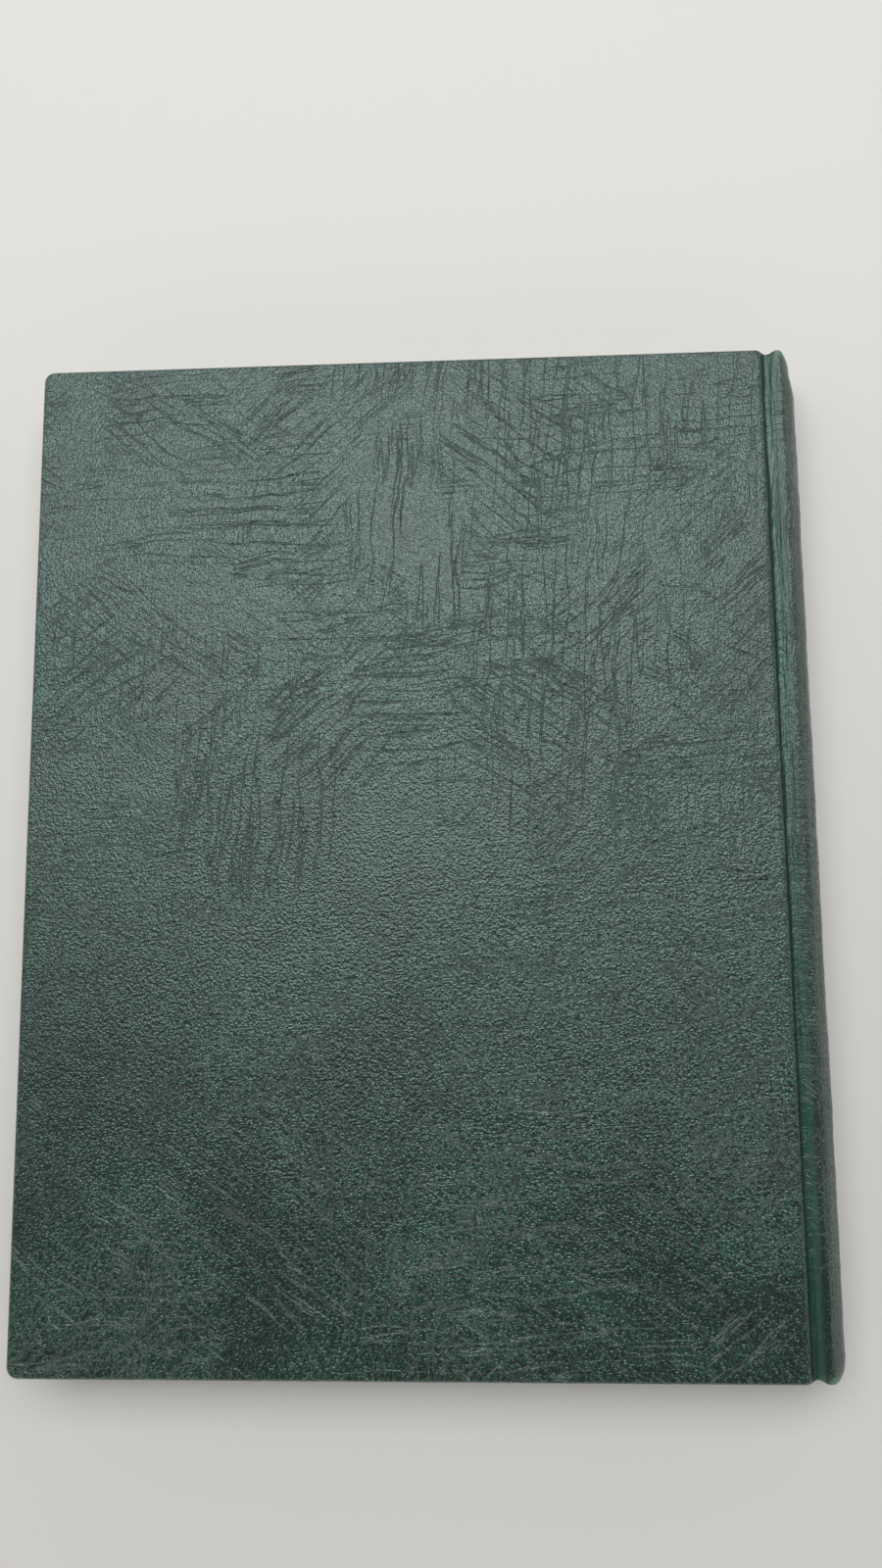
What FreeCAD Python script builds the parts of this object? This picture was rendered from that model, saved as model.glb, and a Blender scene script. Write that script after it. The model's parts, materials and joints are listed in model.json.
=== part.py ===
"""Case-bound pilot logbook, lying closed on its front cover with the spine towards +X and the head towards +Y.

A sewn block of letter-size leaves hangs in a rounded, hollow-backed case: two cloth-covered boards, a curved
spine inlay and a cloth joint (groove) beside each board. Lengths are millimetres. The origin is on the surface
that the book lies on, under the middle of the closed book.

The two cover hinges run along Y at x = derived.hinge_x, at the height of each shoulder of the block. Every leaf
that turns shares the hinge of the cover next to it. The board and those leaves stop short of the hinge by more
than the spine stands out beyond it, so that they swing past the spine.
"""

import math
import os

import FreeCAD
import Part
import Sketcher

X_AXIS = FreeCAD.Vector(1, 0, 0)
STEP_FOLDER = "parts"

# name: (value, what it is)
SIZES = {
    "leaf_height": (279.4, "trimmed height of a leaf"),
    "leaf_width": (215.9, "trimmed width of a leaf, from its fold"),
    "leaf_thickness": (0.12, "one sheet of ledger paper"),
    "leaf_pitch": (0.15, "one leaf and the air above it"),
    "leaves_per_section": (8, "four folded sheets"),
    "section_count": (12, "sections sewn into the block"),
    "section_gap": (0.03, "air between two sections"),
    "turning_leaves": (6, "leaves at each end of the block that are pieces of their own"),
    "square": (3.3, "overhang of a board past the leaves at head, tail and fore-edge"),
    "board_thickness": (2.4, "grey board"),
    "cloth_thickness": (0.4, "embossed leathercloth"),
    "turn_in": (16.0, "cloth folded over onto the inside of a board"),
    "corner_radius": (3.0, "corner of a cover, seen from above"),
    "edge_radius": (0.8, "edge of a cover's outside"),
    "endpaper_thickness": (0.14, "endpaper: pastedown and flyleaf"),
    "endpaper_gap": (0.03, "air over a flyleaf"),
    "paste_margin": (4.0, "cloth left showing round a pastedown"),
    "rest_clearance": (0.05, "air between a closed cover and the block"),
    "spine_reach": (4.5, "from the hinge line out to the spine's crown"),
    "spine_bulge": (4.8, "rise of the round spine over its two long edges"),
    "spine_inset": (0.9, "spine's long edge below the face of the cover"),
    "joint_width": (6.7, "from the hinge line to the board's edge, wider than spine_reach"),
    "stub_gap": (0.1, "from a turning leaf to its sewn stub"),
    "inlay_thickness": (0.8, "curved card in the spine"),
    "inlay_setback": (0.9, "card stops short of the spine's long edges"),
    "hollow_gap": (0.3, "hollow back, between the inlay and the lining"),
    "lining_thickness": (0.2, "kraft paper on the mull"),
    "mull_thickness": (0.3, "open-weave cloth glued over the sewing"),
    "mull_wing": (25.0, "mull carried onto the inside of a board"),
    "mull_setback": (14.0, "mull shorter than the leaves at head and tail"),
    "thread_diameter": (0.5, "linen thread"),
    "station_count": (6, "sewing stations along the spine"),
    "station_spacing": (48.0, "between two sewing stations"),
    "groove_depth": (1.75, "joint pressed in beside the board"),
    "groove_wall": (0.7, "run of the joint's slope at the board"),
    "groove_floor": (0.9, "flat width at the bottom of the joint"),
    "groove_ramp": (2.1, "run of the joint's slope up to the spine"),
    "ridge_depth": (0.55, "ridge between the joint and the spine, below the face of the cover"),
    "band_diameter": (1.8, "rolled head and tail bands"),
    "fold_radius": (0.45, "rounded fold of a section"),
}

# Worked-out sizes, each from the cells and from the ones above it.
DERIVED = {
    "board_face": "sizes.cloth_thickness + sizes.board_thickness",
    "cover_thickness": "derived.board_face + sizes.cloth_thickness + sizes.endpaper_thickness",
    "hinge_height": "derived.cover_thickness + sizes.rest_clearance",
    "flyleaf_pitch": "sizes.endpaper_thickness + sizes.endpaper_gap",
    "sewn_depth": "derived.hinge_height + derived.flyleaf_pitch",
    "section_pitch": "sizes.leaves_per_section * sizes.leaf_pitch",
    "sewn_thickness": "sizes.section_count * derived.section_pitch",
    "sewn_half": "derived.sewn_thickness / 2",
    "thickness": "2 * derived.sewn_depth + derived.sewn_thickness",
    "middle": "derived.thickness / 2",
    "spine_half": "derived.middle - sizes.spine_inset",
    "spine_radius": "(derived.spine_half ^ 2 + sizes.spine_bulge ^ 2) / (2 * sizes.spine_bulge)",
    "inlay_radius": "derived.spine_radius - sizes.cloth_thickness",
    "hollow_radius": "derived.inlay_radius - sizes.inlay_thickness",
    "lining_radius": "derived.hollow_radius - sizes.hollow_gap",
    "mull_radius": "derived.lining_radius - sizes.lining_thickness",
    "thread_radius": "derived.mull_radius - sizes.mull_thickness",
    "fold_arc": "derived.thread_radius - sizes.thread_diameter",
    "fold_drop": "derived.fold_arc - sqrt(derived.fold_arc ^ 2 - derived.sewn_half ^ 2)",
    "outer_fold": "sizes.spine_reach - derived.spine_radius + derived.fold_arc - derived.fold_drop",
    "hinge_to_edge": "sizes.leaf_width - derived.outer_fold + sizes.square",
    "width": "derived.hinge_to_edge + sizes.spine_reach",
    "hinge_x": "derived.width / 2 - sizes.spine_reach",
    "shoulder_x": "derived.hinge_x + derived.outer_fold",
    "arc_x": "derived.width / 2 - derived.spine_radius",
    "cover_left": "-derived.width / 2",
    "cover_right": "derived.hinge_x - sizes.joint_width",
    "height": "sizes.leaf_height + 2 * sizes.square",
    "leaf_left": "derived.hinge_x + derived.outer_fold - sizes.leaf_width",
    "mull_length": "sizes.leaf_height - 2 * sizes.mull_setback",
}


class Book:
    """The document, its sheet of sizes and its worked-out sizes, with the few ways that the pieces are made."""

    def __init__(self):
        self.doc = FreeCAD.newDocument("pilot_logbook")
        self.sheet = self.doc.addObject("Spreadsheet::Sheet", "sizes")
        for row, (name, (value, note)) in enumerate(SIZES.items(), start=1):
            self.sheet.set(f"A{row}", str(value))
            self.sheet.setAlias(f"A{row}", name)
            self.sheet.set(f"B{row}", note)
        self.doc.recompute()
        self.derived = self.doc.addObject("App::VarSet", "derived")
        for name, expression in DERIVED.items():
            self.derived.addProperty("App::PropertyFloat", name, "Derived")
            self.derived.setExpression(name, expression.replace("derived.", ""))
            self.doc.recompute()
        self.pieces = []

    def number(self, expression):
        """The present value of an expression over the sheet and the worked-out sizes."""
        return float(self.sheet.evalExpression(str(expression)))

    def count(self, name):
        return int(self.sheet.get(name))

    def add(self, kind, name, **expressions):
        made = self.doc.addObject(kind, name)
        for path, expression in expressions.items():
            made.setExpression(path.replace("_at_", ".Base."), str(expression))
        return made

    def box(self, name, x, y, z):
        """A Part::Box between two expressions on each axis."""
        return self.add(
            "Part::Box",
            name,
            Length=f"{x[1]} - ({x[0]})",
            Width=f"{y[1]} - ({y[0]})",
            Height=f"{z[1]} - ({z[0]})",
            Placement_at_x=x[0],
            Placement_at_y=y[0],
            Placement_at_z=z[0],
        )

    def cut(self, name, base, tool):
        made = self.doc.addObject("Part::Cut", name)
        made.Base, made.Tool = base, tool
        return made

    def fuse(self, name, *shapes):
        made = self.doc.addObject("Part::MultiFuse", name)
        made.Shapes = list(shapes)
        made.Refine = True
        return made

    def fillet(self, name, base, radius_of):
        """A Part::Fillet of the straight edges of base to which radius_of(edge) gives a radius."""
        self.doc.recompute()
        chosen = [(n, radius_of(edge)) for n, edge in enumerate(base.Shape.Edges, start=1)]
        made = self.doc.addObject("Part::Fillet", name)
        made.Base = base
        made.Edges = [(n, radius, radius) for n, radius in chosen if radius]
        return made

    def sketch_body(self, name):
        """A body with an empty sketch on its XZ plane, seen with +X to the right and +Z up."""
        body = self.doc.addObject("PartDesign::Body", name)
        plane = next(f for f in body.Origin.OriginFeatures if f.Role == "XZ_Plane")
        sketch = body.newObject("Sketcher::SketchObject", name + "_profile")
        sketch.AttachmentSupport = [(plane, "")]
        sketch.MapMode = "FlatFace"
        return body, sketch

    def bind(self, sketch, constraint, expression):
        """Adds a dimensional constraint whose value is an expression."""
        index = sketch.addConstraint(constraint)
        sketch.setExpression(f"Constraints[{index}]", str(expression))

    def place_point(self, sketch, curve, end, x, z):
        """Dimensions one end (or the centre, 3) of a curve from the sketch's origin."""
        for direction, expression in (("DistanceX", x), ("DistanceY", z)):
            if expression is not None:
                value = self.number(expression)
                self.bind(sketch, Sketcher.Constraint(direction, -1, 1, curve, end, value), expression)

    def pad(self, body, sketch, length):
        """Pads a profile both ways along Y, half of the length each way."""
        made = body.newObject("PartDesign::Pad", sketch.Name + "_pad")
        made.Profile = sketch
        made.Midplane = True
        made.setExpression("Length", str(length))
        body.Tip = made
        return body

    def polygon(self, name, corners, length):
        """A body with a straight-sided profile through corners, each a pair of expressions for x and z."""
        body, sketch = self.sketch_body(name)
        at = [FreeCAD.Vector(self.number(x), self.number(z), 0) for x, z in corners]
        for n, start in enumerate(at):
            sketch.addGeometry(Part.LineSegment(start, at[(n + 1) % len(at)]), False)
        for n, (x, z) in enumerate(corners):
            sketch.addConstraint(Sketcher.Constraint("Coincident", n, 2, (n + 1) % len(at), 1))
            self.place_point(sketch, n, 1, x, z)
        return self.pad(body, sketch, length)

    def arc_shell(self, name, outer, inner, half, length):
        """A body like a curved board round the spine's centre, between two radii and up to half above and below."""
        body, sketch = self.sketch_body(name)
        centre = FreeCAD.Vector(self.number("derived.arc_x"), self.number("derived.middle"), 0)
        rise = self.number(half)
        for radius in (self.number(outer), self.number(inner)):
            turn = math.asin(rise / radius)
            circle = Part.Circle(centre, FreeCAD.Vector(0, 0, 1), radius)
            sketch.addGeometry(Part.ArcOfCircle(circle, -turn, turn), False)
        ends = [[sketch.getPoint(arc, end) for arc in (0, 1)] for end in (1, 2)]
        for pair in ends:
            sketch.addGeometry(Part.LineSegment(*pair), False)
        for end in (1, 2):
            sketch.addConstraint(Sketcher.Constraint("Coincident", 0, end, end + 1, 1))
            sketch.addConstraint(Sketcher.Constraint("Coincident", 1, end, end + 1, 2))
        self.place_point(sketch, 0, 3, "derived.arc_x", "derived.middle")
        sketch.addConstraint(Sketcher.Constraint("Coincident", 0, 3, 1, 3))
        for arc, radius in enumerate((outer, inner)):
            self.bind(sketch, Sketcher.Constraint("Radius", arc, self.number(radius)), radius)
            self.place_point(sketch, arc, 1, None, f"derived.middle - ({half})")
            self.place_point(sketch, arc, 2, None, f"derived.middle + ({half})")
        return self.pad(body, sketch, length)

    def ring_piece(self, name, radius, thickness_radius, half, y):
        """A round cord bent about the spine's centre: part of a Part::Torus whose axis lies along Y."""
        ring = self.add(
            "Part::Torus",
            name,
            Radius1=radius,
            Radius2=thickness_radius,
            Angle3=f"2 * asin(({half}) / ({radius}))",
            Placement_at_x="derived.arc_x",
            Placement_at_y=y,
            Placement_at_z="derived.middle",
        )
        # the torus starts on its own +X and turns about its own +Z, so it is tipped onto Y and turned back by half
        ring.Placement.Rotation = FreeCAD.Rotation(X_AXIS, 90)
        self.doc.recompute()
        half_turn = ring.Angle3.Value / 2
        back = FreeCAD.Rotation(FreeCAD.Vector(0, 0, 1), -half_turn)
        ring.Placement.Rotation = FreeCAD.Rotation(X_AXIS, 90).multiply(back)
        return ring

    def keep(self, label, piece):
        """Names a finished sub-part: the label names its file."""
        piece.Label = label
        self.pieces.append(piece)
        return piece


def across(length):
    """From minus half of a length to half of it."""
    return f"-({length}) / 2", f"({length}) / 2"


def layer(side, low, high):
    """A cover's layer between two distances from its outside: up from the bottom, or down from the top."""
    if side == "front":
        return low, high
    return f"derived.thickness - ({high})", f"derived.thickness - ({low})"


def on_line(edge, axis):
    """Is a straight edge parallel to an axis, 0 for X, 1 for Y and 2 for Z?"""
    way = edge.tangentAt(edge.FirstParameter)
    return abs(way[axis]) > 0.999


def build_board(book, side):
    """Grey board with rounded fore-edge corners and a shallow seat for the mull's wing."""
    inside = "derived.board_face"
    blank = book.box(
        side + "_board_blank",
        ("derived.cover_left + sizes.cloth_thickness", "derived.cover_right"),
        across("derived.height - 2 * sizes.cloth_thickness"),
        layer(side, "sizes.cloth_thickness", inside),
    )
    left = book.number("derived.cover_left + sizes.cloth_thickness")
    radius = book.number("sizes.corner_radius - sizes.cloth_thickness")

    def fore_edge_corner(edge):
        return radius if on_line(edge, 2) and abs(edge.BoundBox.XMin - left) < 1e-6 else None

    rounded = book.fillet(side + "_board_rounded", blank, fore_edge_corner)
    wing_place = (
        ("derived.cover_right - sizes.mull_wing", "derived.cover_right"),
        across("derived.mull_length"),
        layer(side, f"{inside} - sizes.mull_thickness", inside),
    )
    seat = book.box(side + "_board_seat", *wing_place)
    book.keep(side + "_board", book.cut(side + "_board", rounded, seat))
    book.keep(side + "_mull_wing", book.box(side + "_mull_wing", *wing_place))
    return rounded


def build_cover_cloth(book, side, board):
    """Leathercloth over the outside of a board, round its edges and turned in at head, tail and fore-edge."""
    folded = "derived.board_face + sizes.cloth_thickness"
    wrap = book.box(
        side + "_cloth_blank",
        ("derived.cover_left", "derived.cover_right"),
        across("derived.height"),
        layer(side, "0", folded),
    )
    left = book.number("derived.cover_left")
    half = book.number("derived.height / 2")
    outside = book.number(layer(side, "0", "0")[0])
    corner = book.number("sizes.corner_radius")
    edge_radius = book.number("sizes.edge_radius")

    def wrapped_edge(edge):
        box = edge.BoundBox
        at_left = abs(box.XMax - left) < 1e-6
        at_end = abs(abs(box.YMin) - half) < 1e-6 and on_line(edge, 0)
        if on_line(edge, 2):
            return corner if at_left else None
        if abs(box.ZMin - outside) < 1e-6 and (at_left or at_end):
            return edge_radius
        return None

    rounded = book.fillet(side + "_cloth_rounded", wrap, wrapped_edge)
    hollow = book.cut(side + "_cloth_hollow", rounded, board)
    window = book.box(
        side + "_cloth_window",
        ("derived.cover_left + sizes.turn_in", "derived.cover_right"),
        across("derived.height - 2 * sizes.turn_in"),
        layer(side, "derived.board_face", folded),
    )
    book.keep(side + "_cover_cloth", book.cut(side + "_cover_cloth", hollow, window))


def build_pastedown(book, side):
    """Endpaper glued to the inside of a cover: flat on the board, and stepped up over the turned-in cloth."""
    board_face = "derived.board_face"
    cloth_face = f"{board_face} + sizes.cloth_thickness"
    rim = book.box(
        side + "_paste_rim",
        ("derived.cover_left + sizes.paste_margin", "derived.cover_right"),
        across("derived.height - 2 * sizes.paste_margin"),
        layer(side, cloth_face, "derived.cover_thickness"),
    )
    middle = book.box(
        side + "_paste_middle",
        ("derived.cover_left + sizes.turn_in", "derived.cover_right"),
        across("derived.height - 2 * sizes.turn_in"),
        layer(side, board_face, "derived.cover_thickness"),
    )
    step = book.box(
        side + "_paste_step",
        ("derived.cover_left + sizes.turn_in + sizes.endpaper_thickness", "derived.cover_right"),
        across("derived.height - 2 * sizes.turn_in - 2 * sizes.endpaper_thickness"),
        layer(side, f"{board_face} + sizes.endpaper_thickness", "derived.cover_thickness"),
    )
    sheet = book.fuse(side + "_paste_sheet", rim, middle)
    book.keep(side + "_pastedown", book.cut(side + "_pastedown", sheet, step))


def strip(book, side, name, outline, length):
    """A strip beside the hinge, from an outline of (x, distance in from the cover's outside)."""
    corners = [(x, layer(side, depth, depth)[0]) for x, depth in outline]
    book.keep(f"{side}_{name}", book.polygon(f"{side}_{name}", corners, length))


def build_joint_cloth(book, side):
    """Leathercloth from the board down into the groove, up to the ridge, and level to the spine's long edge."""
    cloth = "sizes.cloth_thickness"
    groove = "sizes.groove_depth"
    ridge = "sizes.ridge_depth"
    edge = "sizes.spine_inset"
    wall = "derived.cover_right + sizes.groove_wall"
    floor_end = f"{wall} + sizes.groove_floor"
    ridge_x = f"{floor_end} + sizes.groove_ramp"
    spine_out = "derived.arc_x + derived.spine_radius - sizes.spine_bulge"
    spine_in = "derived.arc_x + sqrt(derived.inlay_radius ^ 2 - derived.spine_half ^ 2)"
    outline = (
        ("derived.cover_right", "0"),
        (wall, groove),
        (floor_end, groove),
        (ridge_x, ridge),
        (f"{spine_out} - {cloth}", ridge),
        (spine_out, edge),
        (spine_in, edge),
        (ridge_x, f"{ridge} + {cloth}"),
        (floor_end, f"{groove} + {cloth}"),
        ("derived.cover_right", f"{groove} + {cloth}"),
    )
    strip(book, side, "joint_cloth", outline, "derived.height")


def build_mull_hinge(book, side):
    """The mull between the board and the block, which is what the cover hangs by."""
    outline = (
        ("derived.cover_right", "derived.board_face - sizes.mull_thickness"),
        ("derived.shoulder_x", "derived.board_face - sizes.mull_thickness"),
        ("derived.arc_x + sqrt(derived.mull_radius ^ 2 - derived.sewn_half ^ 2)", "derived.sewn_depth"),
        ("derived.arc_x + sqrt(derived.thread_radius ^ 2 - derived.sewn_half ^ 2)", "derived.sewn_depth"),
        ("derived.shoulder_x - sizes.mull_thickness", "derived.board_face"),
        ("derived.cover_right", "derived.board_face"),
    )
    strip(book, side, "mull_hinge", outline, "derived.mull_length")


def build_endpaper_fold(book, side):
    """The folded endpaper between the pastedown and the flyleaf, like a U on its side."""
    paper = "sizes.endpaper_thickness"
    flyleaf_face = f"derived.hinge_height + {paper}"
    outline = (
        ("derived.cover_right", f"derived.cover_thickness - {paper}"),
        ("derived.shoulder_x", f"derived.cover_thickness - {paper}"),
        ("derived.shoulder_x", flyleaf_face),
        ("derived.cover_right + sizes.stub_gap", flyleaf_face),
        ("derived.cover_right + sizes.stub_gap", "derived.hinge_height"),
        (f"derived.shoulder_x - {paper}", "derived.hinge_height"),
        (f"derived.shoulder_x - {paper}", "derived.cover_thickness"),
        ("derived.cover_right", "derived.cover_thickness"),
    )
    strip(book, side, "endpaper_fold", outline, "sizes.leaf_height")


def build_cover(book, side):
    board = build_board(book, side)
    build_cover_cloth(book, side, board)
    build_pastedown(book, side)
    build_joint_cloth(book, side)
    build_mull_hinge(book, side)
    build_endpaper_fold(book, side)


def build_sections(book):
    """The sewn sections, stepped along the round of the spine; the first and last give room to turning leaves."""
    sections = book.count("section_count")
    for n in range(sections):
        name = f"section_{n + 1:02d}"
        from_middle = max(abs(n - sections / 2), abs(n + 1 - sections / 2))
        fold = f"derived.arc_x + sqrt(derived.fold_arc ^ 2 - ({from_middle} * derived.section_pitch) ^ 2)"
        low = f"derived.sewn_depth + {n} * derived.section_pitch"
        high = f"{low} + derived.section_pitch - sizes.section_gap"
        wide = (f"{fold} - sizes.leaf_width", fold)
        slab = book.box(name + "_slab", wide, across("sizes.leaf_height"), (low, high))
        folded_x = book.number(fold)
        radius = book.number("sizes.fold_radius")

        def folded_edge(edge):
            return radius if on_line(edge, 1) and abs(edge.BoundBox.XMin - folded_x) < 1e-6 else None

        section = book.fillet(name + "_rounded", slab, folded_edge)
        for side, end in (("front", 0), ("back", sections - 1)):
            if n == end:
                room = book.box(
                    name + "_room",
                    ("derived.leaf_left", "derived.cover_right + sizes.stub_gap"),
                    across("sizes.leaf_height"),
                    layer(side, "derived.sewn_depth", "derived.sewn_depth + sizes.turning_leaves * sizes.leaf_pitch"),
                )
                section = book.cut(name + "_stub", section, room)
        book.keep(name, section)


def build_turning_leaves(book, side):
    """The flyleaf and the single leaves that fan when the cover opens; leaf 1 is next to the flyleaf."""
    swinging = ("derived.leaf_left", "derived.cover_right")
    tall = across("sizes.leaf_height")
    flyleaf = layer(side, "derived.hinge_height", "derived.hinge_height + sizes.endpaper_thickness")
    book.keep(side + "_flyleaf", book.box(side + "_flyleaf", swinging, tall, flyleaf))
    for n in range(book.count("turning_leaves")):
        outer = f"derived.sewn_depth + {n} * sizes.leaf_pitch + (sizes.leaf_pitch - sizes.leaf_thickness) / 2"
        name = f"{side}_leaf_{n + 1}"
        book.keep(name, book.box(name, swinging, tall, layer(side, outer, f"{outer} + sizes.leaf_thickness")))


def build_spine_case(book):
    """The case's part of the spine: cloth turned in over both ends of a curved card."""
    card_half = "derived.spine_half - sizes.inlay_setback"
    card_length = "derived.height - 2 * sizes.cloth_thickness"
    card = book.arc_shell("spine_inlay", "derived.inlay_radius", "derived.hollow_radius", card_half, card_length)
    book.keep("spine_inlay", card)
    ends = book.arc_shell("spine_ends", "derived.inlay_radius", "derived.hollow_radius", card_half, "derived.height")
    skin = book.arc_shell(
        "spine_skin", "derived.spine_radius", "derived.inlay_radius", "derived.spine_half", "derived.height"
    )
    caps = book.cut("spine_caps", ends, card)
    book.keep("spine_cloth", book.fuse("spine_cloth", skin, caps))


def build_spine_block(book):
    """The block's part of the spine: kraft lining, mull, sewing thread, and a rolled band at head and tail."""
    for name, outer, inner in (
        ("spine_lining", "derived.lining_radius", "derived.mull_radius"),
        ("spine_mull", "derived.mull_radius", "derived.thread_radius"),
    ):
        book.keep(name, book.arc_shell(name, outer, inner, "derived.sewn_half", "derived.mull_length"))

    stations = book.count("station_count")
    cord_half = "derived.sewn_half - derived.section_pitch / 2"
    threads = []
    for n in range(stations):
        y = f"({n} - ({stations} - 1) / 2) * sizes.station_spacing"
        centre_line = "derived.fold_arc + sizes.thread_diameter / 2"
        threads.append(book.ring_piece(f"thread_{n + 1}", centre_line, "sizes.thread_diameter / 2", cord_half, y))
    sewing = book.doc.addObject("Part::Compound", "sewing_thread")
    sewing.Links = threads
    book.keep("sewing_thread", sewing)

    band_line = "derived.mull_radius - sizes.band_diameter / 2"
    for name, sign in (("head_band", 1), ("tail_band", -1)):
        y = f"{sign} * (sizes.leaf_height + sizes.band_diameter) / 2"
        book.keep(name, book.ring_piece(name, band_line, "sizes.band_diameter / 2", cord_half, y))


def checked(book):
    """Stops the build if any object failed or any sub-part is empty, open or not valid."""
    book.doc.recompute()
    failed = [o.Name for o in book.doc.Objects if "Invalid" in o.State or "Error" in o.State]
    if failed:
        raise RuntimeError(f"these objects failed: {failed}")
    for piece in book.pieces:
        shape = piece.Shape
        if shape.isNull() or not shape.isValid() or not shape.Solids or shape.Volume <= 0:
            raise RuntimeError(f"{piece.Label} isn't a valid solid")


def main():
    book = Book()
    for side in ("front", "back"):
        build_cover(book, side)
        build_turning_leaves(book, side)
    build_sections(book)
    build_spine_case(book)
    build_spine_block(book)
    checked(book)
    os.makedirs(STEP_FOLDER, exist_ok=True)
    for piece in book.pieces:
        piece.Shape.exportStep(os.path.join(STEP_FOLDER, piece.Label + ".step"))
    print(len(book.pieces), "sub-parts")
    for name in DERIVED:
        print(f"  {name} = {getattr(book.derived, name):.3f}")


main()
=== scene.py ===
import json
import math
import bpy
import numpy as np
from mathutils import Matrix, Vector


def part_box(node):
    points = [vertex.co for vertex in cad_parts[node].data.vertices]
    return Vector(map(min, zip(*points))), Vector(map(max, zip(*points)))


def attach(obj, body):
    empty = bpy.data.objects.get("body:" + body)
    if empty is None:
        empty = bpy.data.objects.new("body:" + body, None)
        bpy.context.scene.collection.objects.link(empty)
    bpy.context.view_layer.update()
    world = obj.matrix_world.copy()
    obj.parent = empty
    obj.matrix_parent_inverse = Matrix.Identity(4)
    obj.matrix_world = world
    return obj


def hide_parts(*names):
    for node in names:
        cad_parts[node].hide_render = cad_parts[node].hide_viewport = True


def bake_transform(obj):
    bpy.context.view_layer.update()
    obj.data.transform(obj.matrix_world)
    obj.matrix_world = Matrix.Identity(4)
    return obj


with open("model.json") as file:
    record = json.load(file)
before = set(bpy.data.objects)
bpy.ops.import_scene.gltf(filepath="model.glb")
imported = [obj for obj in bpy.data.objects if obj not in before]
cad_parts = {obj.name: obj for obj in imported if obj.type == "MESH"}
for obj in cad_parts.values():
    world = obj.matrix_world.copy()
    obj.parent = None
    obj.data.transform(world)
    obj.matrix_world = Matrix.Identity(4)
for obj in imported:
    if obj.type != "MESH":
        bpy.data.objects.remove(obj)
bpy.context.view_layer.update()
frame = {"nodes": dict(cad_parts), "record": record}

SIDES = ("front", "back")
MM = 0.001
# the leaves that turn at each end of the block, and the folded sheets in a section
LEAVES = 6
SHEETS = 4

# ---------------------------------------------------------------- places and sizes read from the CAD frame
COVER_LOW, COVER_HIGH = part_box("back_cover_cloth")
BOARD_LOW, BOARD_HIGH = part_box("back_board")
LEFT = COVER_LOW.x
EDGE = COVER_HIGH.x
HALF_HEIGHT = COVER_HIGH.y
THICK = COVER_HIGH.z
MIDDLE = THICK / 2
CLOTH = THICK - BOARD_HIGH.z
COVER_SKIN = THICK - COVER_LOW.z
BOARD_FACE = THICK - BOARD_LOW.z
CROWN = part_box("spine_cloth")[1].x
SPINE_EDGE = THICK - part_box("spine_cloth")[1].z
JOINT_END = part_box("back_joint_cloth")[1].x
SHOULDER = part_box("back_endpaper_fold")[1].x
LEAF_LEFT, LEAF_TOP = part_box("back_flyleaf")[0].x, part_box("back_flyleaf")[1].y
PASTE_LOW, PASTE_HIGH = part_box("back_pastedown")
WING_LOW, WING_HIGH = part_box("back_mull_wing")
SECTIONS = sorted(n for n in frame["nodes"] if n.startswith("section_"))
LEAF_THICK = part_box("back_leaf_1")[1].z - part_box("back_leaf_1")[0].z
LEAF_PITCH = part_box("back_leaf_1")[0].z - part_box("back_leaf_2")[0].z
ENDPAPER_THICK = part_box("back_flyleaf")[1].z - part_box("back_flyleaf")[0].z


def smooth(t):
    """0 below 0, 1 above 1 and an S between."""
    t = np.clip(t, 0.0, 1.0)
    return t * t * (3 - 2 * t)


def hump(t):
    """A bell of height 1 at 0, down to about a third at 1 and at -1."""
    return np.exp(-t * t)


def waves(x, y, size, seed, octaves=3):
    """A soft random field over x and y, from about -1 to 1, whose broadest swells are about size long."""
    local = np.random.default_rng(seed)
    made = np.zeros(np.broadcast(x, y).shape)
    height, total = 1.0, 0.0
    for _ in range(octaves):
        for _ in range(5):
            turn, phase = local.uniform(0, math.tau, 2)
            length = size * local.uniform(0.7, 1.4)
            along = x * math.cos(turn) + y * math.sin(turn)
            made = made + height * np.sin(along * math.tau / length + phase)
        total += height * 5
        size, height = size / 2, height / 2
    return made / total * 2.2


# ---------------------------------------------------------------- meshes
class Surface:
    """Points and faces gathered from several parts, with named numbers for each point."""

    def __init__(self):
        self.points, self.faces, self.values = [], [], {}
        self.count = 0

    def add(self, points, faces, **values):
        points = np.asarray(points, float).reshape(-1, 3)
        self.points.append(points)
        self.faces += [tuple(int(i) + self.count for i in face) for face in faces]
        for name, made in values.items():
            self.values.setdefault(name, []).append(np.broadcast_to(made, len(points)))
        self.count += len(points)
        return self

    def make(self, name, material, slot, flip=False):
        points = np.concatenate(self.points)
        faces = [face[::-1] for face in self.faces] if flip else self.faces
        mesh = bpy.data.meshes.new(name)
        mesh.from_pydata(points.tolist(), [], faces)
        mesh.validate()
        mesh.polygons.foreach_set("use_smooth", [True] * len(mesh.polygons))
        rest = mesh.attributes.new("rest", "FLOAT_VECTOR", "POINT")
        rest.data.foreach_set("vector", points.astype(np.float32).ravel())
        for key, made in self.values.items():
            layer = mesh.attributes.new(key, "FLOAT", "POINT")
            layer.data.foreach_set("value", np.concatenate(made).astype(np.float32))
        mesh.update()
        piece = bpy.data.objects.new(name, mesh)
        bpy.context.scene.collection.objects.link(piece)
        mesh.materials.append(material)
        return piece


def grid_faces(rows, columns):
    """Quads over a grid whose point (i, j) is number i * columns + j."""
    i, j = np.meshgrid(np.arange(rows - 1), np.arange(columns - 1), indexing="ij")
    a = (i * columns + j).ravel()
    return np.stack([a, a + columns, a + columns + 1, a + 1], 1)


def loop_faces(rings, count):
    """Quads between closed rings of count points each, one ring after another."""
    faces = []
    for ring in range(rings - 1):
        here, there = ring * count, (ring + 1) * count
        for n in range(count):
            m = (n + 1) % count
            faces.append((here + n, here + m, there + m, there + n))
    return faces


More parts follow.
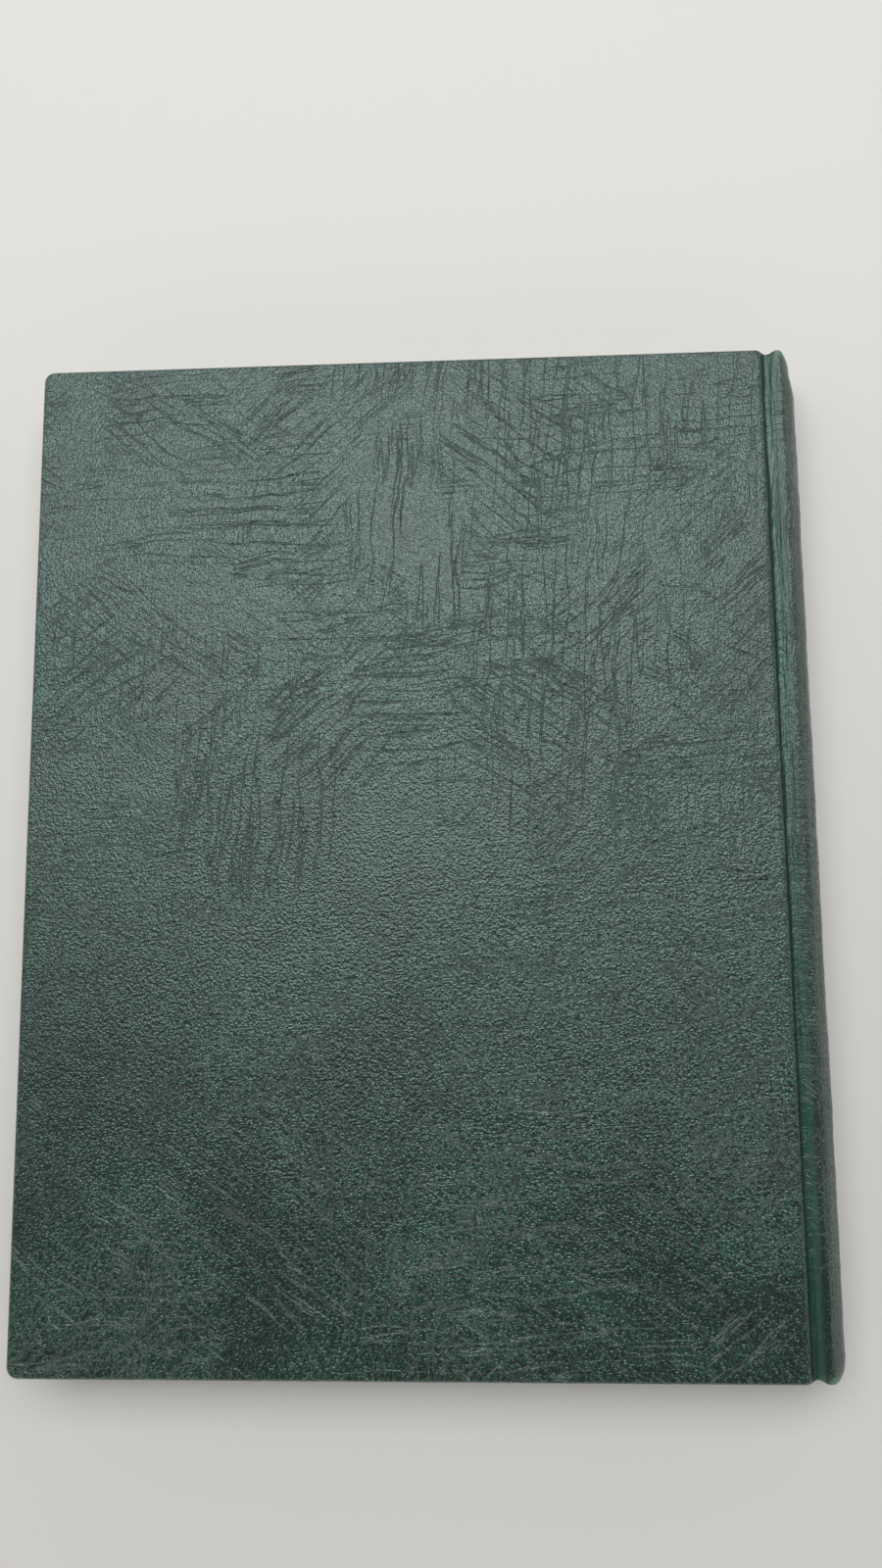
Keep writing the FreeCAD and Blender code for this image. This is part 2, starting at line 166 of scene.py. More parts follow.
def strip_caps(count, last):
    """Quads that close both ends of a tube whose rings go out along one line and back along another."""
    faces = []
    for n in range(count // 2 - 1):
        cap = (n, count - 1 - n, count - 2 - n, n + 1)
        faces += [cap, tuple(last + i for i in cap[::-1])]
    return faces


def spaced(start, end, step):
    """Even steps from start to end, both included, each about as long as step."""
    return np.linspace(start, end, max(1, round(abs(end - start) / step)) + 1)


def sheet_parts(line, thick, rows):
    """A sheet of that thickness whose edge is a line of (x, depth) points, reaching along Y through rows."""
    line = np.asarray(line, float)
    way = np.gradient(line, axis=0)
    way /= np.linalg.norm(way, axis=1)[:, None]
    across = np.stack([-way[:, 1], way[:, 0]], 1) * thick / 2
    loop = np.concatenate([line + across, (line - across)[::-1]])
    count = len(loop)
    rows = np.asarray(rows, float)
    points = np.zeros((len(rows), count, 3))
    points[:, :, 0] = loop[:, 0]
    points[:, :, 1] = rows[:, None]
    points[:, :, 2] = loop[:, 1]
    faces = loop_faces(len(rows), count) + strip_caps(count, (len(rows) - 1) * count)
    return points.reshape(-1, 3), faces


def from_side(points, side):
    """Points whose z is a depth in from the cover's outside, put on that side of the book."""
    made = np.array(points, float)
    if side == "back":
        made[..., 2] = THICK - made[..., 2]
    return made


# ---------------------------------------------------------------- materials
class Nodes:
    """A short way to write a node material. Its place is a point's place in the closed book, kept in the
    attribute rest. On CAD nodes, which don't have it, place is the point's own coordinates."""

    def __init__(self, name, rest=True):
        self.material = bpy.data.materials.new(name)
        self.material.use_nodes = True
        self.tree = self.material.node_tree
        self.tree.nodes.clear()
        output = self.tree.nodes.new("ShaderNodeOutputMaterial")
        self.shader = self.tree.nodes.new("ShaderNodeBsdfPrincipled")
        self.tree.links.new(self.shader.outputs[0], output.inputs[0])
        if rest:
            self.place = self.attribute("rest", "Vector")
        else:
            self.place = self.tree.nodes.new("ShaderNodeTexCoord").outputs["Object"]

    def put(self, socket, value):
        if isinstance(value, bpy.types.NodeSocket):
            self.tree.links.new(value, socket)
        elif value is not None:
            socket.default_value = value

    def set(self, **values):
        for name, value in values.items():
            self.put(self.shader.inputs[name.replace("_", " ")], value)

    def attribute(self, name, output="Fac"):
        node = self.tree.nodes.new("ShaderNodeAttribute")
        node.attribute_name = name
        return node.outputs[output]

    def math(self, operation, a, b=None):
        node = self.tree.nodes.new("ShaderNodeMath")
        node.operation = operation
        for socket, value in zip(node.inputs, (a, b)):
            self.put(socket, value)
        return node.outputs[0]

    def add(self, a, b):
        return self.math("ADD", a, b)

    def times(self, a, b):
        return self.math("MULTIPLY", a, b)

    def vector(self, operation, a, b):
        node = self.tree.nodes.new("ShaderNodeVectorMath")
        node.operation = operation
        self.put(node.inputs[0], a)
        self.put(node.inputs[1], b)
        return node.outputs[0]

    def turned(self, vector, degrees, scale):
        """vector turned about Z, and then each of its parts multiplied by its own scale."""
        node = self.tree.nodes.new("ShaderNodeMapping")
        node.vector_type = "TEXTURE"
        self.put(node.inputs["Vector"], vector)
        node.inputs["Rotation"].default_value = (0, 0, math.radians(degrees))
        node.inputs["Scale"].default_value = [1 / part for part in scale]
        return node.outputs[0]

    def noise(self, vector, scale, detail=3.0, roughness=0.5, output="Fac"):
        node = self.tree.nodes.new("ShaderNodeTexNoise")
        self.put(node.inputs["Vector"], vector)
        node.inputs["Scale"].default_value = scale
        node.inputs["Detail"].default_value = detail
        node.inputs["Roughness"].default_value = roughness
        return node.outputs[output]

    def warped(self, vector, scale, amount, detail=2.0):
        """vector, pushed about by a soft noise of that scale by up to about half of amount."""
        push = self.vector("SUBTRACT", self.noise(vector, scale, detail, output="Color"), (0.5, 0.5, 0.5))
        return self.vector("ADD", vector, self.vector("MULTIPLY", push, (amount, amount, amount)))

    def cells(self, vector, scale, feature="F1", smoothness=None):
        node = self.tree.nodes.new("ShaderNodeTexVoronoi")
        node.feature = feature
        self.put(node.inputs["Vector"], vector)
        node.inputs["Scale"].default_value = scale
        if smoothness is not None:
            node.inputs["Smoothness"].default_value = smoothness
        return node.outputs["Distance"]

    def ramp(self, value, *stops, ease="LINEAR"):
        """Maps a number to numbers or colours through (place, value) stops."""
        node = self.tree.nodes.new("ShaderNodeValToRGB")
        node.color_ramp.interpolation = ease
        self.put(node.inputs[0], value)
        elements = node.color_ramp.elements
        while len(elements) < len(stops):
            elements.new(0.5)
        for element, (at, made) in zip(elements, stops):
            element.position = at
            element.color = made if isinstance(made, tuple) else (made, made, made, 1)
        return node.outputs[0]

    def mix(self, share, a, b):
        node = self.tree.nodes.new("ShaderNodeMix")
        node.data_type = "RGBA"
        self.put(node.inputs[0], share)
        self.put(node.inputs[6], a)
        self.put(node.inputs[7], b)
        return node.outputs[2]

    def axis(self, vector, which):
        node = self.tree.nodes.new("ShaderNodeSeparateXYZ")
        self.put(node.inputs[0], vector)
        return node.outputs[which]

    def bump(self, height, distance, strength=1.0):
        node = self.tree.nodes.new("ShaderNodeBump")
        node.inputs["Distance"].default_value = distance
        node.inputs["Strength"].default_value = strength
        self.put(node.inputs["Height"], height)
        return node.outputs[0]

    def thin_lines(self, vector, degrees, scale, width):
        """Long wandering lines: where a stretched noise passes through its middle value."""
        value = self.noise(self.turned(vector, degrees, scale), 1.0, 2.5, 0.55)
        off = self.math("ABSOLUTE", self.math("SUBTRACT", value, 0.5))
        return self.ramp(off, (0.0, 1.0), (width, 0.0), ease="EASE")


def colour(r, g, b):
    return (r, g, b, 1.0)


def leathercloth():
    """Dark green embossed leathercloth: small pebbles drawn out one way or the other, patches of fine
    creases, a smoother and greener joint, and paler cloth where the edges are rubbed."""
    n = Nodes("leathercloth")
    # grain: pebbles about a millimetre long, some level and some upright. Scales are in cells to the metre
    bent = n.warped(n.place, 220, 0.7 * MM)
    level = n.cells(n.turned(bent, 6, (800, 1380, 1050)), 1.0, "SMOOTH_F1", 0.25)
    upright = n.cells(n.turned(bent, 10, (1420, 820, 1050)), 1.0, "SMOOTH_F1", 0.25)
    pebble = n.math("SUBTRACT", 1.0, n.math("MINIMUM", level, upright))
    fine = n.noise(n.turned(bent, 0, (2600, 2600, 2600)), 1.0, 2, 0.6)
    strength = n.ramp(n.noise(n.place, 30, 3, 0.6), (0.35, 0.82), (0.65, 1.0))
    grain = n.times(n.add(pebble, n.times(fine, 0.5)), strength)
    # creases: four families of long lines, each in patches of its own. A family is its direction in degrees,
    # its scale along, across and through, its width, the scale of its patches and where they begin
    loose = n.warped(n.place, 38, 7 * MM, 4)
    families = (
        (4, (18, 270, 60), 0.024, 28, 0.49),
        (86, (16, 240, 60), 0.025, 22, 0.50),
        (-36, (20, 260, 60), 0.022, 24, 0.51),
        (42, (20, 270, 60), 0.022, 27, 0.52),
    )
    creases = None
    for turn, scale, width, patch, share in families:
        lines = n.thin_lines(loose, turn, scale, width)
        patches = n.noise(n.turned(n.place, turn, (1, 1, 1)), patch, 3)
        made = n.times(lines, n.ramp(patches, (share, 0.0), (share + 0.14, 1.0)))
        creases = made if creases is None else n.math("MAXIMUM", creases, made)

    # joint: the grain is pressed flat there, and fine streaks run along it
    joint = n.attribute("joint")
    calm = n.math("SUBTRACT", 1.0, n.times(joint, 0.6))
    grain = n.times(grain, calm)
    creases = n.times(creases, calm)
    along = n.noise(n.turned(bent, 0, (1500, 130, 900)), 1.0, 3, 0.6)
    streaks = n.times(n.math("SUBTRACT", along, 0.5), joint)

    # colour: painted shade in the grain's valleys and painted glints on the pebble tops, painted shade along
    # the creases, a greener groove and pale rubbed edges
    cloud = n.ramp(n.noise(n.place, 20, 4, 0.55), (0.3, 0.0), (0.7, 1.0))
    base = n.mix(cloud, colour(0.0028, 0.0105, 0.0065), colour(0.0045, 0.0150, 0.0100))
    # painted shade in the grain's valleys, and painted glints where the pebble tops are lighter
    painted_valley_shade = n.mix(0.75, base, colour(0.0006, 0.003, 0.0018))
    base = n.mix(n.ramp(grain, (0.70, 0.0), (0.90, 1.0)), painted_valley_shade, colour(0.017, 0.061, 0.038))
    # painted shade along the creases
    base = n.mix(n.times(creases, 0.22), base, colour(0.002, 0.006, 0.004))
    base = n.mix(n.times(n.attribute("groove"), 0.85), base, colour(0.010, 0.062, 0.036))
    speckle = n.math("SUBTRACT", n.noise(n.place, 600, 3, 0.7), 0.5)
    rub = n.ramp(n.add(n.attribute("wear"), n.times(speckle, 0.9)), (0.38, 0.0), (1.05, 1.0))
    rubbed = n.mix(n.noise(n.place, 420, 4, 0.65), colour(0.035, 0.105, 0.055), colour(0.20, 0.30, 0.19))
    base = n.mix(rub, base, rubbed)
    # gloss and relief follow the grain
    rough = n.ramp(grain, (0.66, 0.36), (0.84, 0.14))
    rough = n.add(rough, n.times(rub, 0.25))
    relief = n.add(n.times(grain, 0.85), n.times(creases, -1.2))
    relief = n.add(relief, n.times(streaks, 1.4))
    n.set(Base_Color=base, Roughness=rough, Normal=n.bump(relief, 0.29 * MM))
    n.shader.inputs["Specular IOR Level"].default_value = 1.0
    n.shader.inputs["Specular Tint"].default_value = colour(0.80, 1.0, 0.96)
    return n.material


def ledger_paper():
    """Buff ledger paper with a plain ruled table on both faces."""
    n = Nodes("ledger_paper")
    x, y = n.axis(n.place, 0), n.axis(n.place, 1)
    fibre = n.noise(n.place, 1900, 3, 0.6)
    cloud = n.ramp(n.noise(n.place, 22, 3), (0.3, 0.0), (0.7, 1.0))
    base = n.mix(cloud, colour(0.66, 0.63, 0.49), colour(0.72, 0.70, 0.57))
    base = n.mix(n.ramp(fibre, (0.5, 0.0), (0.8, 0.25)), base, colour(0.50, 0.45, 0.32))
    left, right = -102 * MM, 92 * MM
    bottom, top = -128 * MM, 128 * MM
    row = 8.0 * MM

    def between(value, low, high):
        return n.times(n.math("GREATER_THAN", value, low), n.math("LESS_THAN", value, high))

    inside = n.times(between(x, left, right), between(y, bottom, top))
    body = between(y, bottom, top - 3 * row)
    step = n.math("FRACT", n.math("DIVIDE", n.math("SUBTRACT", y, bottom), row))
    rules = n.times(n.math("LESS_THAN", step, 0.03), inside)
    band = n.math("FRACT", n.math("DIVIDE", n.math("SUBTRACT", y, bottom), 2 * row))
    tint = n.times(n.times(n.math("GREATER_THAN", band, 0.5), inside), body)
    head = n.times(inside, n.math("SUBTRACT", 1.0, body))
    columns = None
    widths = (16, 20, 20, 26, 10, 10, 13, 13, 13, 13, 13, 13, 13)
    heavy = (3, 5, 9)
    at = left
    for column, width in enumerate(widths):
        at += width * MM
        thick = (0.28 if column in heavy else 0.13) * MM
        near = n.math("LESS_THAN", n.math("ABSOLUTE", n.math("SUBTRACT", x, at)), thick)
        columns = near if columns is None else n.math("MAXIMUM", columns, near)
    lines = n.math("MAXIMUM", rules, n.times(columns, inside))
    base = n.mix(n.times(tint, 0.35), base, colour(0.50, 0.62, 0.42))
    base = n.mix(n.times(head, 0.5), base, colour(0.42, 0.57, 0.38))
    base = n.mix(n.times(lines, 0.8), base, colour(0.10, 0.24, 0.15))
    n.set(Base_Color=base, Roughness=0.85, Normal=n.bump(fibre, 0.04 * MM, 0.5))
    return n.material


def leaf_edges():
    """The block's cut edges: each leaf a slightly different buff, darker where hands have been."""
    n = Nodes("leaf_edges")
    tone = n.attribute("tone")
    grime = n.ramp(n.noise(n.place, 35, 4, 0.6), (0.50, 0.0), (0.75, 0.5))
    base = n.mix(tone, colour(0.60, 0.54, 0.40), colour(0.78, 0.74, 0.61))
    base = n.mix(grime, base, colour(0.42, 0.35, 0.23))
    n.set(Base_Color=base, Roughness=0.88, Normal=n.bump(n.noise(n.place, 2500, 2), 0.03 * MM, 0.5))
    return n.material


def plain_paper(name, one, other, rest=True):
    """Unprinted paper, card or thread, clouded between two colours, with a few brown spots."""
    n = Nodes(name, rest)
    fibre = n.noise(n.place, 1800, 3, 0.6)
    cloud = n.ramp(n.noise(n.place, 25, 3), (0.3, 0.0), (0.7, 1.0))
    base = n.mix(cloud, one, other)
    fox = n.ramp(n.cells(n.warped(n.place, 90, 4 * MM), 75), (0.0, 1.0), (0.07, 0.0))
    base = n.mix(n.ramp(fibre, (0.5, 0.0), (0.8, 0.3)), base, colour(0.45, 0.38, 0.25))
    base = n.mix(n.times(fox, 0.35), base, colour(0.42, 0.30, 0.15))
    n.set(Base_Color=base, Roughness=0.82, Normal=n.bump(fibre, 0.05 * MM, 0.6))
    return n.material


def grey_board():
    """Millboard: grey, with light and dark flecks."""
    n = Nodes("grey_board")
    fleck = n.noise(n.place, 900, 4, 0.7)
    base = n.mix(n.ramp(fleck, (0.35, 0.0), (0.7, 1.0)), colour(0.20, 0.19, 0.17), colour(0.34, 0.32, 0.28))
    n.set(Base_Color=base, Roughness=0.92, Normal=n.bump(fleck, 0.1 * MM, 0.7))
    return n.material


def open_weave(name, rest):
    """Open-weave cotton stiffened with glue."""
    n = Nodes(name, rest)
    thread_pitch = 0.9 * MM
    turns = math.tau / thread_pitch
    warp = n.math("SINE", n.times(n.axis(n.place, 0), turns))
    weft = n.math("SINE", n.times(n.axis(n.place, 1), turns))
    cross = n.times(warp, weft)
    base = n.mix(n.add(n.times(cross, 0.5), 0.5), colour(0.26, 0.22, 0.14), colour(0.66, 0.60, 0.46))
    n.set(Base_Color=base, Roughness=0.9, Normal=n.bump(cross, 0.2 * MM, 0.8))
    return n.material


def band_threads():
    """Green and cream threads wound across the head and tail bands; wound counts the threads."""
    n = Nodes("band_threads")
    wound = n.attribute("wound")
    stripe = n.math("GREATER_THAN", n.math("FRACT", n.times(wound, 0.25)), 0.5)
    fibre = n.noise(n.place, 4000, 2)
    base = n.mix(stripe, colour(0.70, 0.64, 0.47), colour(0.03, 0.14, 0.08))
    base = n.mix(n.times(fibre, 0.4), base, colour(0.25, 0.24, 0.18))
    n.set(Base_Color=base, Roughness=0.62, Normal=n.bump(fibre, 0.06 * MM, 0.7))
    return n.material


LEATHER = leathercloth()
LEDGER = ledger_paper()
EDGES = leaf_edges()
ENDPAPER = plain_paper("endpaper", colour(0.70, 0.66, 0.53), colour(0.76, 0.73, 0.61))
BOARD = grey_board()
MULL = open_weave("mull", True)
BAND = band_threads()
CARD = plain_paper("spine_card", colour(0.42, 0.33, 0.20), colour(0.48, 0.39, 0.25))
CAD_LOOKS = {
    "mull": open_weave("mull_inside", False),
    "kraft": plain_paper("kraft", colour(0.30, 0.19, 0.10), colour(0.36, 0.23, 0.13), False),
    "thread": plain_paper("linen_thread", colour(0.68, 0.62, 0.47), colour(0.75, 0.70, 0.55), False),
}

# ---------------------------------------------------------------- the case: cloth over board, joint and spine
TURN_IN = 16 * MM
CORNER = 3.2 * MM
EDGE_ROUND = 1.0 * MM
INNER_ROUND = 0.5 * MM
GROOVE_DEPTH = 1.75 * MM
RIDGE_DEPTH = 0.5 * MM
GROOVE_PLACE = 1.5 * MM
RIDGE_PLACE = 3.6 * MM
STEP = 1.5 * MM
FINE = 0.3 * MM


def spine_arc():
    """The centre and the radius of the spine's outside, an arc through both joints' ends and the crown."""
    half = MIDDLE - SPINE_EDGE
    bulge = CROWN - JOINT_END
    radius = (half**2 + bulge**2) / (2 * bulge)
    return CROWN - radius, radius


def case_profile():
    """Across the back cover at rest, from the fore-edge corner to the spine's crown: rows of
    (x, z, thickness under the outside, how far into the groove, how far past the board)."""
    centre, radius = spine_arc()
    corners = [(LEFT + CORNER, 0.0), (EDGE - 1.3 * MM, 0.0), (EDGE - 0.3 * MM, 0.32 * MM)]
    corners += [(EDGE + 0.75 * MM, GROOVE_DEPTH - 0.12 * MM), (EDGE + GROOVE_PLACE, GROOVE_DEPTH)]
    corners += [(EDGE + RIDGE_PLACE, RIDGE_DEPTH), (JOINT_END - 0.9 * MM, RIDGE_DEPTH + 0.05 * MM)]
    dense = [np.array([corners[0]])]
    for a, b in zip(corners, corners[1:]):
        pieces = int(np.hypot(b[0] - a[0], b[1] - a[1]) / (0.05 * MM))
        dense.append(np.linspace(a, b, max(2, pieces))[1:])
    # the arc begins just past the joint's end, so that the line doesn't turn back on itself
    start = math.asin((MIDDLE - SPINE_EDGE) / radius) * 0.985
    turns = np.linspace(start, 0.0, 260)[1:]
    arc = np.stack([centre + radius * np.cos(turns), MIDDLE - radius * np.sin(turns)], 1)
    line = np.concatenate(dense + [arc])
    # the cloth is stiff, so the corners of the path are rounded over
    reach = 9
    kernel = hump(np.arange(-reach, reach + 1) / 5.0)
    kernel /= kernel.sum()
    padded = np.concatenate([np.repeat(line[:1], reach, 0), line, 2 * line[-1] - line[-2 : -2 - reach : -1]])
    smoothed = np.stack([np.convolve(padded[:, k], kernel, "valid") for k in (0, 1)], 1)
    smoothed[-1] = line[-1]
    length = np.concatenate([[0], np.cumsum(np.linalg.norm(np.diff(smoothed, axis=0), axis=1))])
    turn_off = length[np.searchsorted(smoothed[:, 0], EDGE - 2 * MM)]
    stops = np.concatenate([spaced(0, turn_off, STEP), spaced(turn_off, length[-1], FINE)[1:]])
    x = np.interp(stops, length, smoothed[:, 0])
    depth = np.interp(stops, length, smoothed[:, 1])
    past = smooth((x - EDGE + 0.5 * MM) / (1.3 * MM))
    on_spine = smooth((x - EDGE - 3.0 * MM) / (1.5 * MM))
    under = COVER_SKIN * (1 - past) + 0.9 * MM * past + 0.7 * MM * on_spine
    groove = hump((x - EDGE - 2.1 * MM) / (1.5 * MM))
    return np.stack([x, depth, under, groove, past], 1)


def edge_ring():
    """Round a cover's edge: (distance out past the flat, share of the thickness gone down) for each ring."""
    arc = np.linspace(0, math.pi / 2, 7)[1:]
    flat = CORNER - EDGE_ROUND
    out = [flat * 0.5, flat] + [flat + EDGE_ROUND * math.sin(a) for a in arc]
    down = [0.0, 0.0] + [EDGE_ROUND * (1 - math.cos(a)) for a in arc]
    end = COVER_SKIN - INNER_ROUND
    for depth in np.linspace(EDGE_ROUND, end, 4)[1:]:
        out.append(CORNER)
        down.append(depth)
    out += [CORNER - INNER_ROUND * (1 - math.cos(a)) for a in arc]
    down += [end + INNER_ROUND * math.sin(a) for a in arc]
    return np.array(out), np.array(down) / COVER_SKIN


def drawn_in(x, y):
    """How far the spine's two ends lean in over the block: more at the head, by which the book is pulled
    from a shelf."""
    to_end = HALF_HEIGHT - np.abs(y)
    head = 1.15 * smooth((12 * MM - to_end) / (8.7 * MM)) + 0.9 * smooth((3.0 * MM - to_end) / (3.0 * MM))
    tail = 0.45 * smooth((6 * MM - to_end) / (5 * MM)) + 0.7 * smooth((2.4 * MM - to_end) / (2.4 * MM))
    share = smooth((x - EDGE - 4 * MM) / (CROWN - EDGE - 4 * MM))
    return np.where(y > 0, head, tail) * share * MM


def case_wear(x, y, along, past, to_end):
    """How rubbed the cloth's outside is: rims and corners of the cover, then the spine's ends, crown and
    ridge. along is the place across the book before it is bent, and to_end the way to the head or tail."""
    to_fore = x - LEFT
    rim = hump((np.minimum(to_end, to_fore) - 0.35 * MM) / (0.8 * MM))
    patch = 0.5 + 0.5 * waves(x, y, 45 * MM, 23, 3)
    corner = hump(np.hypot(to_fore, to_end) / (5.5 * MM))
    on_cover = rim * (0.12 + 0.45 * patch) * (1 - past) + corner * rim * 0.7
    spine_end = past * hump(to_end / (2.6 * MM)) * smooth((along - EDGE - 3 * MM) / (2 * MM))
    crown = past * hump((along - CROWN) / (1.1 * MM)) * (0.12 + 0.2 * waves(along * 0, y, 50 * MM, 29, 2))
    ridge = hump((along - EDGE - 3.9 * MM) / (0.5 * MM)) * 0.22
    pulled = past * smooth((11 * MM - to_end) / (7 * MM)) * hump((along - CROWN) / (3.2 * MM))
    return on_cover + spine_end * 0.85 + crown + ridge + pulled * np.where(y > 0, 0.85, 0.3)


def case_cloth():
    """One side of the case's cloth at rest, as depths in from the outside: outside, edges and turn-ins. The
    grid's middle follows the profile, and the rings round it go over the edges and in under the turn-ins."""
    profile = case_profile()
    path = profile[:, :2]
    way = np.gradient(path, axis=0)
    way /= np.linalg.norm(way, axis=1)[:, None]
    inward_x, inward_z = -way[:, 1], way[:, 0]
    ring_out, ring_down = edge_ring()
    edge_rings = len(ring_out)
    turned = np.array([0.05, 0.15, 0.3, 0.5, 0.7, 0.9, 0.98, 1.0, 1.0])
    rings = edge_rings + len(turned)
    y_flat = HALF_HEIGHT - CORNER
    y_rows = spaced(-y_flat, y_flat, STEP)
    columns, lines = rings + len(profile), 2 * rings + len(y_rows)
    # step_x and step_y count how many rings a point lies outside the flat, across and along the book
    ci, li = np.meshgrid(np.arange(columns), np.arange(lines), indexing="ij")
    step_x = np.clip(rings - ci, 0, None)
    step_y = np.clip(rings - li, 0, None) + np.clip(li - rings - len(y_rows) + 1, 0, None)
    at_x = np.clip(ci - rings, 0, len(profile) - 1)
    at_y = np.clip(li - rings, 0, len(y_rows) - 1)
    sign = np.where(li < rings, -1.0, 1.0)
    ring = np.maximum(step_x, step_y)
    long = np.maximum(np.hypot(step_x, step_y), 1e-9)
    place = np.clip(ring - 1, 0, edge_rings - 1)
    out = np.where(ring > 0, ring_out[place], 0.0)
    fall = np.where(ring > 0, ring_down[place], 0.0)
    px, depth, under, groove, past = (profile[at_x, k] for k in range(5))
    x = px - step_x / long * out
    y = y_rows[at_y] + sign * step_y / long * out

    # the turn-ins: from the edge to a window with a slightly ragged border
    inner = ring > edge_rings
    place = np.clip(ring - edge_rings - 1, 0, len(turned) - 1)
    share = np.where(inner, turned[place], 0.0)
    window_x = np.maximum(x, LEFT + TURN_IN)
    window_y = np.clip(y, TURN_IN - HALF_HEIGHT, HALF_HEIGHT - TURN_IN)
    ragged = 0.35 * MM * waves(x, y, 30 * MM, 41)
    x = x + (window_x - x + np.where(window_x > x, ragged, 0.0)) * share
    y = y + (window_y - y) * share
    cut = np.where(ring == rings, CLOTH, 0.0)

    # slight swells over the board, wrinkles along the joint and spine, and a pinch at the head and the tail
    to_end = HALF_HEIGHT - np.abs(y)
    fade = smooth(to_end / (5 * MM))
    swell = (0.05 * waves(px, y, 60 * MM, 3, 2) + 0.02 * waves(px, y, 14 * MM, 5, 2)) * MM
    ripple = (0.09 * waves(px * 0.5, y, 11 * MM, 11, 3) + 0.10 * waves(px * 3, y * 0.22, 7 * MM, 17, 2)) * MM
    sink = 0.06 * MM - swell * (1 - past) * fade - (ripple - 0.09 * MM) * past * fade
    in_joint = hump((px - EDGE - 1.9 * MM) / (1.7 * MM))
    pinch = in_joint * hump(to_end / (3.5 * MM))
    on_top = np.where(fall < 0.15, 1.0, 0.0) * np.where(inner, 0.0, 1.0)
    sink = np.where(on_top > 0, sink, 0.05 * MM)
    y = y - np.sign(y) * pinch * 0.9 * MM * np.where(inner, 0.0, 1.0)
    x = x - drawn_in(px, y)
    deep = fall * under - cut + sink + pinch * 0.35 * MM * on_top
    curved = px > EDGE - 2 * MM
    x = np.where(curved, x + inward_x[at_x] * deep, x)
    z = depth + np.where(curved, inward_z[at_x], 1.0) * deep

    wear = np.where(inner, 0.0, case_wear(x, y, px, past, to_end))
    joint = past * (1 - 0.8 * smooth((px - EDGE - 4.2 * MM) / (1.2 * MM)))
    values = {"wear": wear.ravel(), "groove": groove.ravel(), "joint": joint.ravel()}
    return np.stack([x, y, z], -1), grid_faces(columns, lines), values


CASE_POINTS, CASE_FACES, CASE_VALUES = case_cloth()
for side in SIDES:
    surface = Surface().add(from_side(CASE_POINTS, side), CASE_FACES, **CASE_VALUES)
    cloth = surface.make(side + "_case_cloth", LEATHER, "leathercloth", flip=side == "front")
    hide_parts(side + "_cover_cloth", side + "_joint_cloth")
    if side == "back":
        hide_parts("spine_cloth")
    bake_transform(cloth)


def board(side):
    """Grey board with its arrises taken off."""
    x0, x1 = BOARD_LOW.x + 0.15 * MM, EDGE - 0.1 * MM
    y1 = BOARD_HIGH.y - 0.15 * MM
    round_corner = CORNER - 0.5 * MM
    turns = np.linspace(0, math.pi / 2, 7)
    sines, cosines = round_corner * (1 - np.sin(turns)), round_corner * (1 - np.cos(turns))
    high_corner = np.column_stack([x0 + sines, y1 - cosines])
    low_corner = np.column_stack([x0 + cosines, -y1 + sines])
    outline = np.concatenate([[(x1, -y1), (x1, y1)], high_corner, low_corner])
    middle = outline.mean(0)
    rings = []
    for inset, depth in ((0.7, 0.02), (0.0, 0.75), (0.0, 2.0), (0.35, 2.36)):
        toward = np.sign(middle - outline) * inset * MM
        rings.append(np.column_stack([outline + toward, np.full(len(outline), CLOTH + depth * MM)]))
    count = len(outline)
    faces = loop_faces(len(rings), count)
    faces.append(tuple(range(count))[::-1])
    faces.append(tuple(range((len(rings) - 1) * count, len(rings) * count)))
    surface = Surface().add(from_side(np.concatenate(rings), side), faces)
    made = surface.make(side + "_grey_board", BOARD, "board", flip=side == "front")
    made.data.polygons.foreach_set("use_smooth", [False] * len(made.data.polygons))
    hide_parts(side + "_board")
    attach(made, side + "_cover")


def endpaper(side):
    """The pasted half of the endpaper: over the board, stepped up over the turned-in cloth, and across the
    joint."""
    near = 2 * MM
    step_x, step_y = LEFT + TURN_IN, HALF_HEIGHT - TURN_IN
    xs = np.concatenate([
        spaced(PASTE_LOW.x, step_x - near, 3 * MM),
        spaced(step_x - near, step_x + near, 0.4 * MM)[1:],
        spaced(step_x + near, EDGE - 2 * near, 6 * MM)[1:],
        spaced(EDGE - 2 * near, SHOULDER - 0.1 * MM, 0.5 * MM)[1:],
    ])
    half = np.concatenate([
        spaced(0, step_y - near, 8 * MM),
        spaced(step_y - near, step_y + near, 0.4 * MM)[1:],
        spaced(step_y + near, PASTE_HIGH.y, 3 * MM)[1:],
    ])
    ys = np.concatenate([-half[:0:-1], half])
    X, Y = np.meshgrid(xs, ys, indexing="ij")
    over_fore = smooth((step_x + 0.5 * MM - X) / (0.9 * MM))
    over_end = smooth((np.abs(Y) - step_y + 0.5 * MM) / (0.9 * MM))
    over_joint = smooth((X - EDGE + 2.5 * MM) / (2.2 * MM))
    over = np.maximum(np.maximum(over_fore, over_end), over_joint)
    wing = smooth((X - WING_LOW.x) / (0.5 * MM)) * smooth((WING_HIGH.y - np.abs(Y)) / (0.5 * MM))
    depth = BOARD_FACE + ENDPAPER_THICK + (COVER_SKIN - BOARD_FACE) * over + 0.05 * MM * wing * (1 - over)
    depth = depth + 0.015 * MM * waves(X, Y, 25 * MM, 51, 2)
    depth = np.minimum(depth, COVER_SKIN + ENDPAPER_THICK)
    top = np.stack([X, Y, depth], -1)
    rim = np.pad(top, ((1, 1), (1, 1), (0, 0)), mode="edge")
    for cut in (np.s_[0, :], np.s_[-1, :], np.s_[:, 0], np.s_[:, -1]):
        rim[cut + (2,)] -= ENDPAPER_THICK * 0.9
    surface = Surface().add(from_side(rim, side), grid_faces(len(xs) + 2, len(ys) + 2))
    made = surface.make(side + "_endpaper", ENDPAPER, "endpaper", flip=side == "back")
    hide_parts(side + "_pastedown", side + "_endpaper_fold")
    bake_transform(made)


